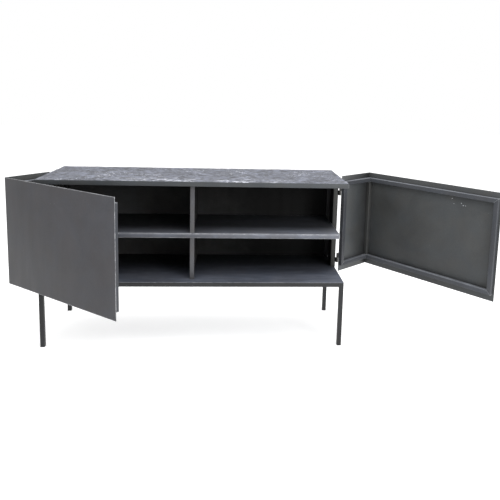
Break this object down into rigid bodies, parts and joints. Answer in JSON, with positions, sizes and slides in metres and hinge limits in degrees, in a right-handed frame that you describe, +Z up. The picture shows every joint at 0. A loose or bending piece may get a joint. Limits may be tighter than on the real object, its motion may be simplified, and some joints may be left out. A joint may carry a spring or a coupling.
{
  "type": "sideboard buffet",
  "caption": "Long low welded-steel sideboard on thin square legs, with a patinated top, a shelf, a central divider and L-shaped doors that wrap round its corners.",
  "frame": {"origin": "on the floor, midway between the four legs", "axes": "+X to the right along the length, +Y to the back, +Z up; the doors open at -Y"},
  "size_m": [2.1678, 0.8045, 0.78],
  "materials": {
    "top_patina": "crinkled patinated steel sheet under a satin lacquer, with worn bright flecks",
    "carcass_paint": "satin dark grey paint over welded steel",
    "inside_paint": "matt near-black paint",
    "door_paint": "matt dark grey paint, slightly mottled",
    "hinge_steel": "dark oiled steel"
  },
  "bodies": {
    "carcass": {"top_sheet": "top_patina", "top_rail_front": "carcass_paint", "top_rail_rear": "carcass_paint", "top_rail_left": "carcass_paint", "top_rail_right": "carcass_paint", "base_rail_front": "carcass_paint", "base_rail_rear": "carcass_paint", "base_rail_left": "carcass_paint", "base_rail_right": "carcass_paint", "base_sheet": "carcass_paint", "leg_front_left": "carcass_paint", "leg_front_right": "carcass_paint", "leg_rear_left": "carcass_paint", "leg_rear_right": "carcass_paint", "hinge_post_left": "carcass_paint", "rear_post_left": "carcass_paint", "side_panel_left": "carcass_paint", "hinge_post_right": "carcass_paint", "rear_post_right": "carcass_paint", "side_panel_right": "carcass_paint", "back_panel": "inside_paint", "shelf_sheet": "carcass_paint", "shelf_rail_front": "carcass_paint", "shelf_rail_rear": "carcass_paint", "shelf_rail_left": "carcass_paint", "shelf_rail_right": "carcass_paint", "divider_post_upper": "carcass_paint", "divider_panel_upper": "inside_paint", "divider_post_lower": "carcass_paint", "divider_panel_lower": "inside_paint", "hinge_left_upper_barrel": "hinge_steel", "hinge_left_upper_pin": "hinge_steel", "hinge_left_lower_barrel": "hinge_steel", "hinge_left_lower_pin": "hinge_steel", "hinge_right_upper_barrel": "hinge_steel", "hinge_right_upper_pin": "hinge_steel", "hinge_right_lower_barrel": "hinge_steel", "hinge_right_lower_pin": "hinge_steel"},
    "door_left": {"door_left_front_skin": "door_paint", "door_left_side_skin": "door_paint", "door_left_front_rail_top": "door_paint", "door_left_front_rail_bottom": "door_paint", "door_left_side_rail_top": "door_paint", "door_left_side_rail_bottom": "door_paint", "door_left_free_stile": "door_paint", "door_left_hinge_stile": "door_paint", "door_left_corner_stile": "door_paint", "door_left_upper_barrel": "hinge_steel", "door_left_lower_barrel": "hinge_steel"},
    "door_right": {"door_right_front_skin": "door_paint", "door_right_side_skin": "door_paint", "door_right_front_rail_top": "door_paint", "door_right_front_rail_bottom": "door_paint", "door_right_side_rail_top": "door_paint", "door_right_side_rail_bottom": "door_paint", "door_right_free_stile": "door_paint", "door_right_hinge_stile": "door_paint", "door_right_corner_stile": "door_paint", "door_right_upper_barrel": "hinge_steel", "door_right_lower_barrel": "hinge_steel"}
  },
  "joints": [
    {"name": "door_left_hinge", "type": "hinge", "parent": "carcass", "child": "door_left", "pos_m": [-0.7078, 0.011, 0.533], "axis": [0, 0, 1], "range_deg": [-144, 36]},
    {"name": "door_right_hinge", "type": "hinge", "parent": "carcass", "child": "door_right", "pos_m": [0.7078, 0.011, 0.533], "axis": [0, 0, 1], "range_deg": [-128.8, 51.2]}
  ]
}
